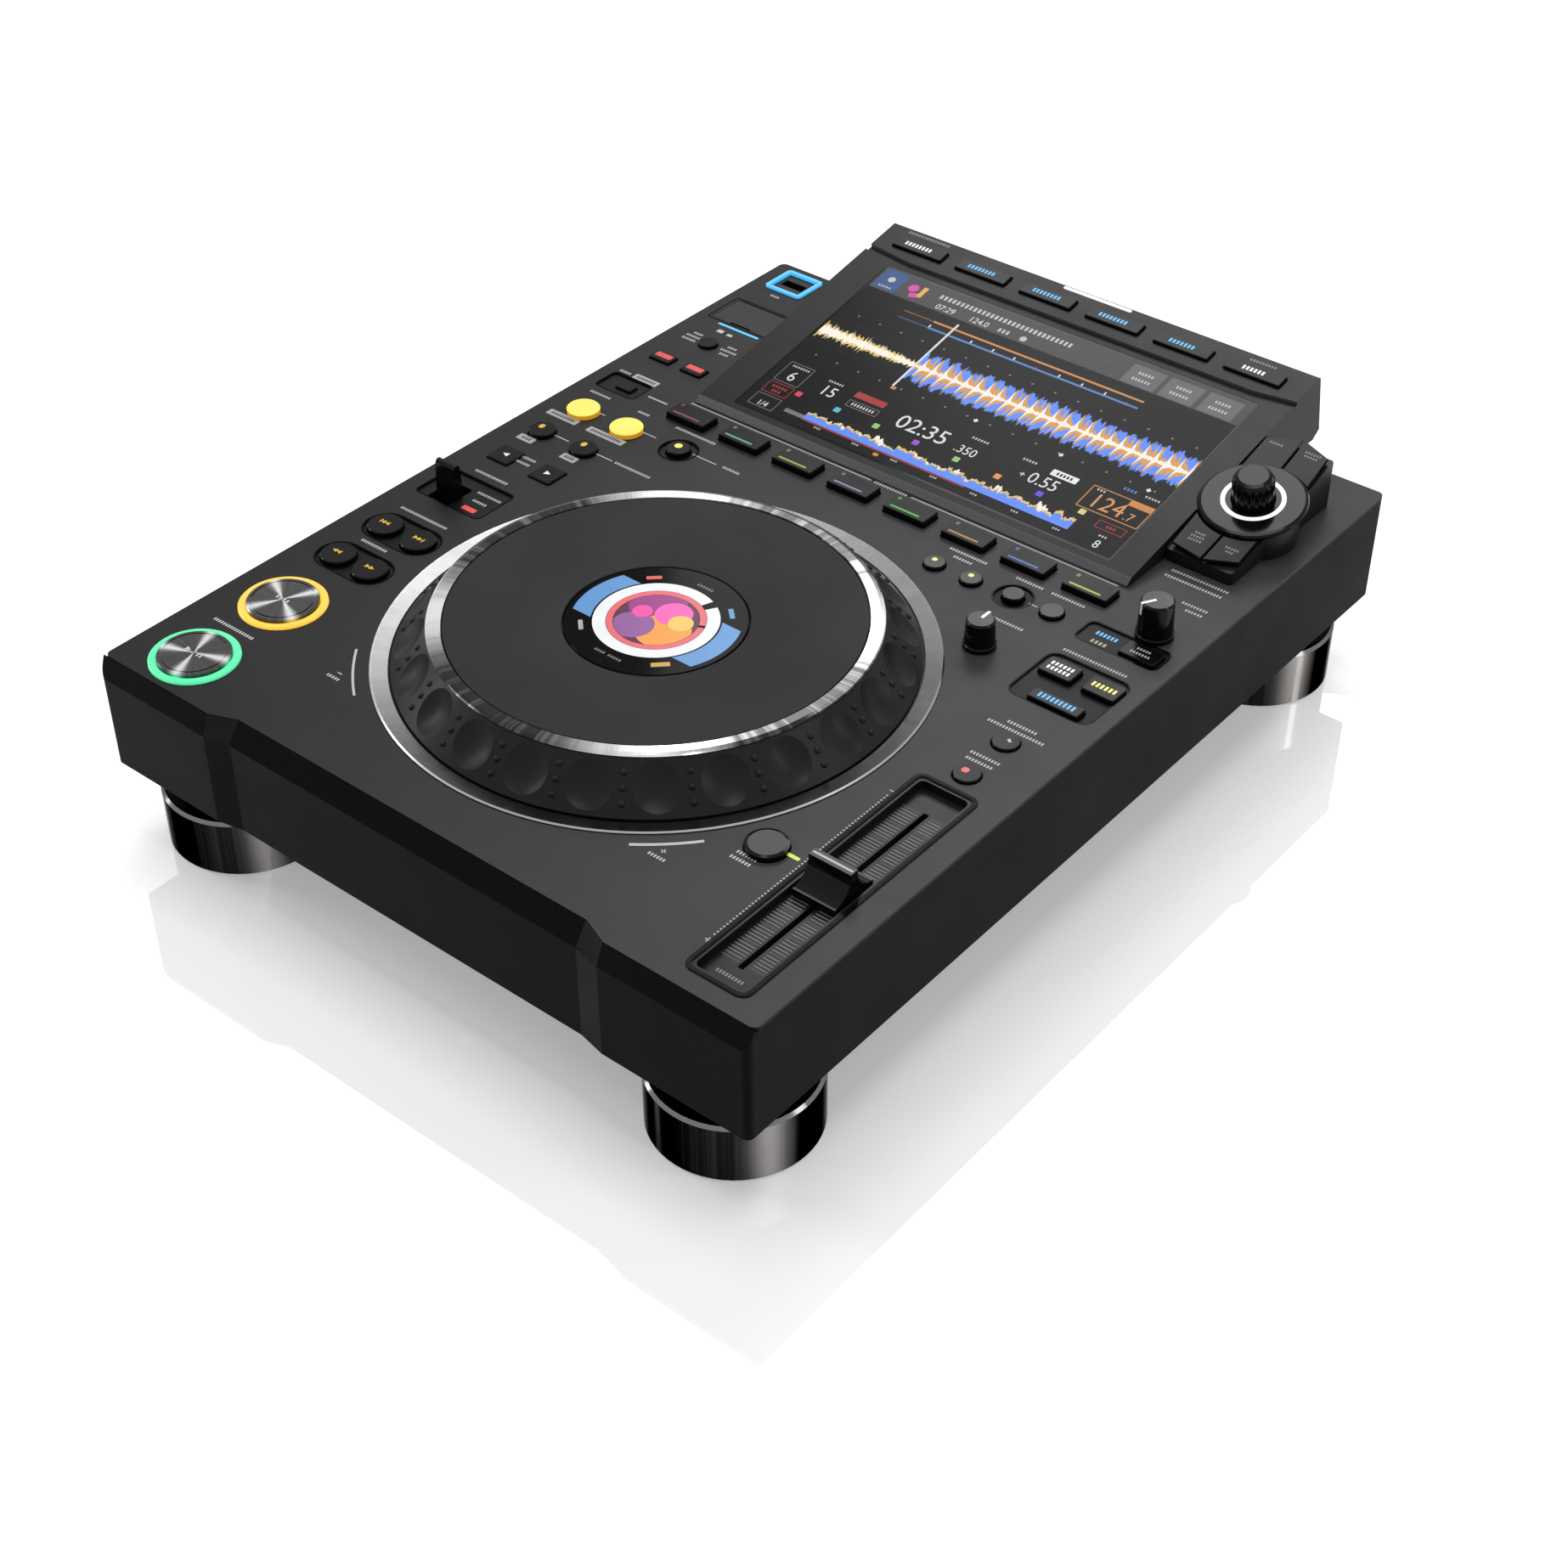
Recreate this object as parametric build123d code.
from build123d import *
import os
from dataclasses import dataclass
from math import atan2, cos, degrees, hypot, radians, sin, sqrt

# Tabletop disc and media player, in millimetres. +X is to the player's right, +Y to its back, +Z up.
# The origin lies on the table, at the middle of the whole outline.

# ---- Driving dimensions ----
WIDTH = 329.0  # the body, side to side
PANEL_DEPTH = 421.0  # the body's top, front edge to back edge
STAND_HEIGHT = 36.1  # table to the body's underside
BODY_HEIGHT = 50.2  # underside to the top of the panel
CASE_WALL = 2.5
CORNER_R = 3.0
PANEL_SHEET = 1.6
BASE_SHEET = 1.3
REAR_SHEET = 1.2
FIT = 0.3  # gap round a fixed piece in its pocket
KEY_GAP = 0.4  # gap round a key top in its opening
RUNNING = 0.05  # radial gap of a turning or sliding fit

# Front: a bevel that runs wider across the middle, where the wall steps back
BEVEL_HEIGHT = 8.7
BEVEL_END = 3.6
BEVEL_MIDDLE = 8.4
FRONT_STEP = 2.5
STEP_LEFT = -104.0
STEP_RIGHT = 97.4
STEP_RUN = 12.0

# Feet
FOOT_R = 33.1
FOOT_TOP = 26.5
FOOT_NECK_R = 25.0
FOOT_WALL = 3.0
FOOT_CHAMFER = 1.2
FOOT_INSET_X = 35.0
FOOT_INSET_FRONT = 33.9
FOOT_INSET_BACK = 32.0
PAD_THICKNESS = 2.4
PAD_STAND = 0.8  # the pad stands out below the foot's rim

# Jog
JOG_X = 0.5
JOG_FROM_FRONT = 141.6
JOG_SINK = 0.8  # depth of the panel's round recess for the jog
RIM_R = 103.4  # foot of the wheel's sloping rim
RIM_RUN = 15.0  # the slope's run, seen from above
RIM_LOW = 0.2
RIM_HIGH = 16.6
RIM_LIFT = -0.3  # the wheel clears the floor of its recess
RIM_WALL = 3.4
TRIM_INNER_GAP = 1.0
TRIM_WIDTH = 7.2
TRIM_RISE = 1.0  # the ring's outer edge, over the panel
TRIM_DISH = 1.3  # the fall of its face towards the wheel
DIMPLES = 24
DIMPLE_R = 9.7
DIMPLE_DEPTH = 2.2
DIMPLE_PHASE = 11.6  # degrees, of the first one
CHROME_WIDTH = 5.2
CHROME_LIP = 0.7  # the ring's overhang, beyond its seat
CHROME_LIP_THICKNESS = 0.4
CHROME_TOP = 17.8
CHROME_SEAT = 14.0
PLATE_TOP = 17.5
PLATE_THICKNESS = 1.5
PLATE_DISH = 2.9  # the plate's fall from its outer edge to its bore
PLATE_TRAVEL = 0.5
PLATE_BORE_R = 36.45
CENTRE_TOP = PLATE_TOP - PLATE_DISH  # top of the fixed round display
CENTRE_THICKNESS = 2.6
HUB_R = 34.0
HUB_SHOULDER_R = 40.0
HUB_FLANGE_R = 58.0
HUB_FLANGE = 4.0
HUB_BORE_R = 27.0
WHEEL_FOOT = -2.3  # foot of the wheel's own hub, from the panel's top
ENCODER_R = 60.0
ENCODER_SHEET = 1.2
ENCODER_SLOTS = 36

# Display unit
SCREEN_LEFT = -110.6
SCREEN_RIGHT = 118.5
SCREEN_TILT = 11.15  # degrees
SCREEN_LIFT = 4.2  # the glass's lower edge, above the panel
SCREEN_FROM_BACK = 121.5  # the glass's lower edge, in front of the panel's back edge
SCREEN_SLOPE = 142.2  # the glass's lower edge to the top rear edge, up the slope
SCREEN_BACK = 28.9  # height of the display's back face, down the face
REAR_UNDERCUT = 4.6  # the foot of the back face turns in by this much
BEZEL_FRONT = 6.5
GLASS_WIDTH = 199.0
GLASS_DEPTH = 113.7
GLASS_X = 6.0
GLASS_THICKNESS = 1.4
GLASS_LEDGE = 2.0
HOUSING_WALL = 2.4
LCD_THICKNESS = 5.0
COVE_WIDTH = 6.0
COVE_DEPTH = 1.6
MENU_KEYS = 6
MENU_PITCH = 36.05
MENU_X = 3.0
MENU_WIDTH = 28.0
MENU_DEPTH = 7.5
MENU_V = 130.3
MENU_RISE = 1.4

# Selector, to the right of the display
SELECTOR_X = 136.0
SELECTOR_FROM_BACK = 63.0
SELECTOR_R = 19.8  # the housing under the collar
SELECTOR_SIDE = 150.2  # right side of the housing beside the wedge keys
COLLAR_R = 22.7
COLLAR_RISE = 1.9
COLLAR_SINK = 0.8  # the collar's rim reaches this far under the display's plane
SELECTOR_LIT_R = 13.4
KNOB_R = 8.8
KNOB_TOP = 14.6
KNOB_RIBS = 18
SELECTOR_SHAFT_R = 3.0
SELECTOR_PUSH = 0.7

# Keys
KEY_TRAVEL = 0.8
LARGE_KEY_TRAVEL = 1.2
KEY_FLANGE = 1.1
KEY_FLANGE_REACH = 1.2
SWITCH_GAP = 0.25
SWITCH_SIZE = 4.0
SWITCH_HEIGHT = 2.0
BOARD_DROP = 6.7  # panel's underside to the key board's top
BOARD_SHEET = 1.6
ROCKER_DROP = 2.2  # a rocker's bar hangs this far under the sheet
ROCKER_BAR = 6.0
BEAD_R = 1.5

# Tempo fader
FADER_X = 25.2  # slot, in from the right side
FADER_FROM_FRONT = 78.6  # middle of the slot
FADER_TRAVEL = 100.0
FADER_SLOT = 2.4
FADER_STEM = 4.0
RECESS_WIDTH = 23.9
RECESS_DEPTH = 129.6
RECESS_X = 25.3
RECESS_FROM_FRONT = 78.9
RECESS_SINK = 3.5
DECK_SHEET = 1.2
CAP_WIDTH = 18.8
CAP_LENGTH = 21.5
CAP_HEIGHT = 14.0
CAP_LIFT = 0.4
CAP_REST = -2.25  # where the cap rests, from the middle of the slot
TRACK_WIDTH = 20.0
TRACK_HEIGHT = 13.0
RAIL_R = 1.5
RAIL_SPACING = 11.0

# ---- Worked-out places ----
TILT = radians(SCREEN_TILT)
OVERHANG = SCREEN_SLOPE * cos(TILT) + SCREEN_BACK * sin(TILT) - SCREEN_FROM_BACK
OVERALL_DEPTH = PANEL_DEPTH + OVERHANG
LEFT = -WIDTH / 2
RIGHT = WIDTH / 2
FRONT = -OVERALL_DEPTH / 2
BACK = FRONT + PANEL_DEPTH
PANEL_TOP = STAND_HEIGHT + BODY_HEIGHT
PANEL_UNDER = PANEL_TOP - PANEL_SHEET
BASE_TOP = STAND_HEIGHT + BASE_SHEET
BOARD_TOP = PANEL_UNDER - BOARD_DROP
SWITCH_TOP = BOARD_TOP + SWITCH_HEIGHT
JOG_Y = FRONT + JOG_FROM_FRONT
CREST_R = RIM_R - RIM_RUN
CHROME_R = CREST_R - 0.5
CHROME_INNER_R = CHROME_R - CHROME_WIDTH
TRIM_OUTER_R = RIM_R + TRIM_INNER_GAP + TRIM_WIDTH
FADER_SLOT_X = RIGHT - FADER_X
FADER_Y = FRONT + FADER_FROM_FRONT
SCREEN_Y = BACK - SCREEN_FROM_BACK
SELECTOR_Y = BACK - SELECTOR_FROM_BACK
SELECTOR_V = (SELECTOR_Y - SCREEN_Y) / cos(TILT)
BEAD_DROP = FIT + BEAD_R
SCREEN_PLANE = Plane(
    origin=(0, SCREEN_Y, PANEL_TOP + SCREEN_LIFT),
    x_dir=(1, 0, 0),
    z_dir=(0, -sin(TILT), cos(TILT)),
)


@dataclass(frozen=True)
class Cap:
    """A key top: its middle, its width and its depth. A round one has no depth."""

    x: float
    y: float
    width: float
    depth: float = 0.0
    corner: float = 0.8


@dataclass(frozen=True)
class Key:
    """A key that goes straight down: its cap, and the cap's height over the panel."""

    cap: Cap
    rise: float
    travel: float = KEY_TRAVEL
    sink: float = 0.0  # how far below the panel the flange's seat lies


@dataclass(frozen=True)
class Pair:
    """Two caps on one rocking bar. Pressing either tips the bar over its bead."""

    first: Cap
    second: Cap
    rise: float


def from_left(distance):
    return LEFT + distance


def from_right(distance):
    return RIGHT - distance


def from_front(distance):
    return FRONT + distance


def from_back(distance):
    return BACK - distance


HOT_CUE_Y = from_back(139.7)
HOT_CUES = [Cap(-102.4 + 30.15 * i, HOT_CUE_Y, 21.5, 10.8) for i in range(8)]

KEYS = {
    "play_key": Key(Cap(from_left(29.0), from_front(24.6), 29.4), 2.4, LARGE_KEY_TRAVEL, 1.2),
    "cue_key": Key(Cap(from_left(28.5), from_front(70.9), 29.4), 2.4, LARGE_KEY_TRAVEL, 1.2),
    "media_stop_key": Key(Cap(from_left(24.0), from_back(84.2), 9.0), 1.4),
    "time_mode_key": Key(Cap(from_left(20.4), from_back(136.6), 9.0, 5.5), 0.4),
    "reloop_key": Key(Cap(from_left(74.3), from_back(162.8), 11.0), 1.6),
    "jog_mode_key": Key(Cap(from_right(16.5), from_back(162.4), 16.4, 9.6, 1.2), 0.9),
    "key_sync_key": Key(Cap(from_right(23.8), from_back(210.3), 23.0, 6.5), 1.5),
    "tempo_reset_key": Key(Cap(from_right(55.5), from_front(77.2), 16.6), 2.4),
}

PAIRS = {
    "hot_cue_keys_a": Pair(HOT_CUES[0], HOT_CUES[1], 3.0),
    "hot_cue_keys_b": Pair(HOT_CUES[2], HOT_CUES[3], 3.0),
    "hot_cue_keys_c": Pair(HOT_CUES[4], HOT_CUES[5], 3.0),
    "hot_cue_keys_d": Pair(HOT_CUES[6], HOT_CUES[7], 3.0),
    "call_keys": Pair(
        Cap(48.6, from_back(163.5), 9.4), Cap(66.9, from_back(163.5), 9.4), 1.8
    ),
    "memory_keys": Pair(
        Cap(86.6, from_back(161.8), 9.4), Cap(105.3, from_back(161.8), 10.2), 1.8
    ),
    "slip_keys": Pair(
        Cap(from_left(16.4), from_back(106.9), 12.0, 7.0),
        Cap(from_left(35.1), from_back(106.9), 12.0, 7.0),
        1.2,
    ),
    "loop_keys": Pair(
        Cap(from_left(19.9), from_back(164.5), 15.0),
        Cap(from_left(45.5), from_back(164.5), 15.0),
        2.2,
    ),
    "beat_loop_keys": Pair(
        Cap(from_left(18.0), from_back(189.0), 12.4),
        Cap(from_left(42.6), from_back(189.0), 12.4),
        1.8,
    ),
    "beat_jump_keys": Pair(
        Cap(from_left(19.4), from_back(213.4), 12.2, 12.0),
        Cap(from_left(44.0), from_back(213.4), 12.2, 12.0),
        0.9,
    ),
    "track_search_keys": Pair(
        Cap(from_left(19.2), from_front(136.1), 15.2),
        Cap(from_left(38.4), from_front(136.1), 15.2),
        1.4,
    ),
    "search_keys": Pair(
        Cap(from_left(19.9), from_front(108.9), 15.2),
        Cap(from_left(38.3), from_front(108.9), 15.2),
        1.4,
    ),
    "sync_keys": Pair(
        Cap(from_right(34.6), from_back(191.6), 15.0, 10.5, 1.4),
        Cap(from_right(14.6), from_back(191.6), 15.0, 10.5, 1.4),
        1.5,
    ),
    "tempo_keys": Pair(
        Cap(from_right(24.9), from_back(266.0), 11.0),
        Cap(from_right(24.9), from_back(241.5), 11.0),
        1.2,
    ),
}

# Shallow recesses pressed into the panel: middle, width, depth, corner radius, depth of the press
RECESSES = [
    (Cap(from_left(18.7), from_back(136.5), 22.4, 14.0, 2.0), 0.8),
    (Cap(from_left(28.8), from_front(136.1), 38.0, 19.0, 9.4), 0.8),
    (Cap(from_left(29.1), from_front(108.9), 37.6, 19.0, 9.4), 0.8),
    (Cap(from_left(74.3), from_back(162.8), 17.0), 0.8),
    (Cap(86.6, from_back(161.8), 16.4), 0.8),
    (Cap(from_right(25.5), from_back(162.0), 37.5, 13.8, 3.0), 0.8),
    (Cap(from_right(25.9), from_back(198.2), 37.4, 32.6, 5.0), 0.8),
    (Cap(from_left(26.8), from_front(175.0), 36.8, 22.6, 2.5), 0.8),
    (Cap(JOG_X, JOG_Y, 2 * TRIM_OUTER_R + FIT), JOG_SINK),
]

LEVER = Cap(from_left(20.9), from_front(172.0), 11.0, 5.0)
LEVER_SLOT = Cap(LEVER.x, LEVER.y, 12.4, 15.2, 1.5)
LEVER_HEIGHT = 14.6
LEVER_PIVOT_DROP = 13.0
LEVER_PIVOT_R = 2.0
LEVER_PIN_REACH = 3.0

# Small knobs: middle, foot radius, height over the panel
JOG_ADJUST = Cap(95.6, from_back(197.4), 13.6)
JOG_ADJUST_HEIGHT = 12.8
SPEED_ADJUST = Cap(from_right(19.7), from_back(148.5), 15.6)
SPEED_ADJUST_HEIGHT = 17.0
POT_SHAFT_R = 2.5
POT_SIZE = 11.0

LIT_RING_R = 18.0
LIT_RING_RISE = 1.2
LIT_RING_FLANGE = 1.2
LIT_RING_REACH = 1.6  # of the flange beyond the ring

USB_FRAME = Cap(from_left(18.5), from_back(14.5), 21.0, 19.5, 2.0)
USB_MOUTH = Cap(USB_FRAME.x, USB_FRAME.y, 12.6, 5.2, 0.5)
USB_DEPTH = 16.0
CARD_BAY = Cap(from_left(24.5), from_back(52.2), 34.0, 20.6, 1.0)
CARD_BAY_DEPTH = 7.0
CARD_SLOT = Cap(CARD_BAY.x, CARD_BAY.y + 4.0, 24.6, 2.6, 0.4)
CARD_SLOT_DEPTH = 9.0
BAY_WALL = 1.6
HINGE_PIN_R = 0.5
HINGE_PIN_REACH = 1.2
DOOR_HINGE_DROP = 0.8
CARD_LIGHT = Cap(CARD_BAY.x + 2.0, CARD_BAY.y - 13.4, 24.0, 1.2, 0.5)

# Rear panel: x of each socket, and the height of the row
REAR_PANEL = Cap(0.0, 0.0, 288.0, 36.0, 2.0)
REAR_WINDOW_LEDGE = 3.0
REAR_ROW_Z = STAND_HEIGHT + 21.0
POWER_BUTTON_X = 124.0
INLET_X = 88.0
NETWORK_X = 30.0
USB_B_X = 2.0
PHONO_X = [-52.0, -70.0, -96.0]
JACK_X = -118.0
LOCK_X = -134.0
PHONO_R = 4.15
PHONO_BORE_R = 1.6
PHONO_REACH = 9.0
PHONO_COLLAR_R = 5.4
PHONO_COLLAR_REACH = 0.6
JACK_R = 3.6
JACK_BORE_R = 1.8
JACK_REACH = 1.5
SOCKET_BACK = 14.0  # how far the sockets reach in behind the rear panel
INLET_WIDTH = 27.0
INLET_HEIGHT = 19.8
INLET_DEPTH = 17.0


# ---- Small helpers ----
def outline(cap, grow=0.0):
    """The flat outline of a key top, made larger all round by grow."""
    if cap.depth == 0.0:
        return Pos(cap.x, cap.y) * Circle(cap.width / 2 + grow)
    corner = max(cap.corner + grow, 0.1)
    return Pos(cap.x, cap.y) * RectangleRounded(cap.width + 2 * grow, cap.depth + 2 * grow, corner)


def raised(flat, low, high):
    """A flat outline carried straight up from one height to another."""
    return Pos(0, 0, low) * extrude(flat, high - low)


def disc(radius, low, high, x=0.0, y=0.0):
    return raised(Pos(x, y) * Circle(radius), low, high)


def tube(outer, inner, low, high, x=0.0, y=0.0):
    return disc(outer, low, high, x, y) - disc(inner, low, high, x, y)


def block(x, y, width, depth, low, high):
    return raised(Pos(x, y) * Rectangle(width, depth), low, high)


def side_extrusion(points, x_low, x_high):
    """A closed outline of (y, z) points, carried along X."""
    face = Plane.YZ * make_face(Polyline(*points, close=True))
    return Pos(x_low, 0, 0) * extrude(face, x_high - x_low)


def turned(points):
    """A closed outline of (radius, z) points, turned about Z."""
    return revolve(Plane.XZ * make_face(Polyline(*points, close=True)), Axis.Z)


def rod_x(radius, x_low, x_high, y, z):
    return Pos(x_low, y, z) * Rot(0, 90, 0) * Cylinder(
        radius, x_high - x_low, align=(Align.CENTER, Align.CENTER, Align.MIN)
    )


def rod_y(radius, x, y_low, y_high, z):
    return Pos(x, y_low, z) * Rot(-90, 0, 0) * Cylinder(
        radius, y_high - y_low, align=(Align.CENTER, Align.CENTER, Align.MIN)
    )


def on_screen(shape):
    """Carries a shape drawn on the level into the tilted plane of the display."""
    return SCREEN_PLANE.location * shape


def group(solids):
    return Compound(children=list(solids))


def chamfer_top(solid, size):
    """Breaks the edges of a solid's highest level face."""
    return chamfer(solid.faces().sort_by(Axis.Z)[-1].edges(), size)


# ---- Case ----
def front_outline(end_setback, middle_setback, back=BACK):
    """The body seen from above, with the front set back by one amount at the ends and another in the middle."""
    ends = FRONT + end_setback
    middle = FRONT + middle_setback
    points = [
        (LEFT, ends),
        (STEP_LEFT, ends),
        (STEP_LEFT + STEP_RUN, middle),
        (STEP_RIGHT - STEP_RUN, middle),
        (STEP_RIGHT, ends),
        (RIGHT, ends),
        (RIGHT, back),
        (LEFT, back),
    ]
    return make_face(Polyline(*points, close=True))


def lower_case():
    bevel_low = PANEL_TOP - BEVEL_HEIGHT
    body = raised(front_outline(0.0, FRONT_STEP), STAND_HEIGHT, bevel_low)
    foot_of_bevel = Pos(0, 0, bevel_low) * front_outline(0.0, FRONT_STEP)
    top_of_bevel = Pos(0, 0, PANEL_TOP) * front_outline(BEVEL_END, BEVEL_MIDDLE)
    body += loft([foot_of_bevel, top_of_bevel], ruled=True)
    corners = body.edges().filter_by(Axis.Z).filter_by(lambda e: abs(e.center().X) > RIGHT - 1)
    body = fillet(corners, CORNER_R)
    body -= raised(front_outline(BEVEL_END, BEVEL_MIDDLE), PANEL_UNDER, PANEL_TOP + 1)
    inside = WIDTH - 2 * CASE_WALL
    low_front = FRONT + FRONT_STEP + CASE_WALL
    high_front = FRONT + BEVEL_MIDDLE + CASE_WALL
    back = BACK - CASE_WALL
    ledge_top = BASE_TOP + 2.0
    ledge = 4.0
    shoulder = bevel_low - 6.0
    body -= block(0, (low_front + back) / 2, inside, back - low_front, STAND_HEIGHT, BASE_TOP)
    body -= block(
        0, (low_front + back) / 2, inside - 2 * ledge, back - low_front - 2 * ledge, BASE_TOP, ledge_top
    )
    body -= block(0, (low_front + back) / 2, inside, back - low_front, ledge_top, shoulder)
    body -= block(0, (high_front + back) / 2, inside, back - high_front, shoulder, PANEL_UNDER)
    for cap in lit_key_caps():
        body -= disc(LIT_RING_R + LIT_RING_REACH + FIT, SWITCH_TOP, PANEL_UNDER, cap.x, cap.y)
    window_z = REAR_ROW_Z
    sight = REAR_PANEL.width - 2 * REAR_WINDOW_LEDGE
    sight_height = REAR_PANEL.depth - 2 * REAR_WINDOW_LEDGE
    body -= Pos(0, BACK, window_z) * Box(sight, 4 * CASE_WALL, sight_height)
    body -= Pos(0, BACK, window_z) * Box(REAR_PANEL.width, 2 * REAR_SHEET, REAR_PANEL.depth)
    return body


def foot_places():
    x = RIGHT - FOOT_INSET_X
    front = FRONT + FOOT_INSET_FRONT
    back = BACK - FOOT_INSET_BACK
    return [(-x, front), (x, front), (-x, back), (x, back)]


def foot():
    shell = disc(FOOT_R, PAD_STAND, FOOT_TOP)
    shell = chamfer_top(shell, FOOT_CHAMFER)
    shell -= disc(FOOT_R - FOOT_WALL, PAD_STAND, FOOT_TOP - FOOT_WALL)
    shell += disc(FOOT_NECK_R, FOOT_TOP, STAND_HEIGHT)
    shell += tube(FOOT_NECK_R, FOOT_NECK_R - FOOT_WALL, PAD_THICKNESS, FOOT_TOP - FOOT_WALL)
    return shell


def feet():
    return group(Pos(x, y) * foot() for x, y in foot_places())


def foot_pads():
    return group(disc(FOOT_R - FOOT_WALL - FIT, 0, PAD_THICKNESS, x, y) for x, y in foot_places())


def base_plate():
    low_front = FRONT + FRONT_STEP + CASE_WALL + FIT
    back = BACK - CASE_WALL - FIT
    middle = (low_front + back) / 2
    plate = block(0, middle, WIDTH - 2 * CASE_WALL - 2 * FIT, back - low_front, STAND_HEIGHT, BASE_TOP)
    slots = [
        block(LEFT + 60 + 9 * i, BACK - 110, 3.2, 46, STAND_HEIGHT - 1, BASE_TOP + 1) for i in range(9)
    ]
    plate -= slots
    for x, y in main_board_posts():
        plate += disc(3.0, BASE_TOP, MAIN_BOARD_LOW, x, y)
    for x, y in supply_posts():
        plate += disc(3.0, BASE_TOP, SUPPLY_LOW, x, y)
    return plate


# ---- Boards and supply ----
MAIN_BOARD_LOW = BASE_TOP + 5.0
MAIN_BOARD_X = 52.0
MAIN_BOARD_Y = BACK - 75.0
MAIN_BOARD_WIDTH = 170.0
MAIN_BOARD_DEPTH = 100.0
SUPPLY_LOW = BASE_TOP + 3.0
SUPPLY_X = -96.0
SUPPLY_Y = BACK - 88.0
SUPPLY_WIDTH = 84.0
SUPPLY_DEPTH = 110.0
SUPPLY_TOP = PANEL_UNDER - CARD_BAY_DEPTH - CARD_SLOT_DEPTH - 2.4  # clear of the card slot


def main_board_posts():
    dx = MAIN_BOARD_WIDTH / 2 - 6
    dy = MAIN_BOARD_DEPTH / 2 - 6
    return [(MAIN_BOARD_X + i * dx, MAIN_BOARD_Y + j * dy) for i in (-1, 1) for j in (-1, 1)]


def supply_posts():
    dx = SUPPLY_WIDTH / 2 - 8
    dy = SUPPLY_DEPTH / 2 - 8
    return [(SUPPLY_X + i * dx, SUPPLY_Y + j * dy) for i in (-1, 1) for j in (-1, 1)]


def power_supply():
    """A closed metal can with a rim at its foot."""
    can = block(SUPPLY_X, SUPPLY_Y, SUPPLY_WIDTH - 8, SUPPLY_DEPTH, SUPPLY_LOW, SUPPLY_TOP)
    return can + block(SUPPLY_X, SUPPLY_Y, SUPPLY_WIDTH, SUPPLY_DEPTH, SUPPLY_LOW, SUPPLY_LOW + 1.2)


def key_board():
    """One board under the panel, with a switch under every key top."""
    low = BOARD_TOP - BOARD_SHEET
    top_band = HOT_CUE_Y + 9
    left = LEFT + CASE_WALL + 2
    right = RIGHT - CASE_WALL - 2
    front = FRONT + BEVEL_MIDDLE + CASE_WALL + 1
    areas = [
        (left, -106.0, from_back(150), from_back(78)),
        (left, -106.0, front, from_back(150)),
        (-106.0, 112.0, from_back(172), top_band),
        (90.0, right, from_back(206), top_band),
        (100.0, right, from_back(274), from_back(206)),
        (99.0, FADER_SLOT_X - TRACK_WIDTH / 2 - 2, front + 40, from_back(274)),
    ]
    board = Part()
    for x_low, x_high, y_low, y_high in areas:
        board += block((x_low + x_high) / 2, (y_low + y_high) / 2, x_high - x_low, y_high - y_low, low, BOARD_TOP)
    for cap in every_cap():
        board += block(cap.x, cap.y, SWITCH_SIZE, SWITCH_SIZE, BOARD_TOP, SWITCH_TOP)
    for knob in (JOG_ADJUST, SPEED_ADJUST):
        pot = block(knob.x, knob.y, POT_SIZE, POT_SIZE, BOARD_TOP, SWITCH_TOP)
        board += pot
        board -= disc(POT_SHAFT_R + RUNNING, low - 1, SWITCH_TOP + 1, knob.x, knob.y)
    board -= lever_space(low - 1, SWITCH_TOP + 1)
    return board


def circuit_boards():
    main = block(
        MAIN_BOARD_X, MAIN_BOARD_Y, MAIN_BOARD_WIDTH, MAIN_BOARD_DEPTH,
        MAIN_BOARD_LOW, MAIN_BOARD_LOW + BOARD_SHEET,
    )
    return group([main, key_board()])


# ---- Keys ----
def every_cap():
    caps = [key.cap for key in KEYS.values()]
    for pair in PAIRS.values():
        caps += [pair.first, pair.second]
    return caps


def push_key(key):
    """Cap, flange under the panel, and a foot that stands over its switch."""
    flange_top = PANEL_UNDER - key.sink - FIT
    flange_low = flange_top - KEY_FLANGE
    top = PANEL_TOP + key.rise
    cap = chamfer_top(raised(outline(key.cap), flange_low, top), 0.4)
    flange = raised(outline(key.cap, KEY_FLANGE_REACH), flange_low, flange_top)
    foot_low = SWITCH_TOP + key.travel + SWITCH_GAP
    stem = disc(SWITCH_SIZE / 2, foot_low, flange_low, key.cap.x, key.cap.y)
    return cap + flange + stem


def disc_key(key):
    """The large start and cue keys: a shallow dished cap with a turned step."""
    solid = push_key(key)
    top = PANEL_TOP + key.rise
    radius = key.cap.width / 2
    dish = tube(radius - 1.6, radius - 2.2, top - 0.4, top + 1, key.cap.x, key.cap.y)
    return solid - dish


def domed_key(key):
    """A round key with a low dome."""
    solid = push_key(key)
    radius = key.cap.width / 2
    dome_height = 1.0
    ball_r = (radius**2 + dome_height**2) / (2 * dome_height)
    top = PANEL_TOP + key.rise
    ball = Pos(key.cap.x, key.cap.y, top + dome_height - ball_r - 0.3) * Sphere(ball_r)
    return solid & (ball + disc(radius * 3, STAND_HEIGHT, top - 0.6, key.cap.x, key.cap.y))


def rocker_middle(first, second):
    return (first.x + second.x) / 2, (first.y + second.y) / 2


def rocker_angle(first, second):
    return degrees(atan2(second.y - first.y, second.x - first.x))


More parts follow.
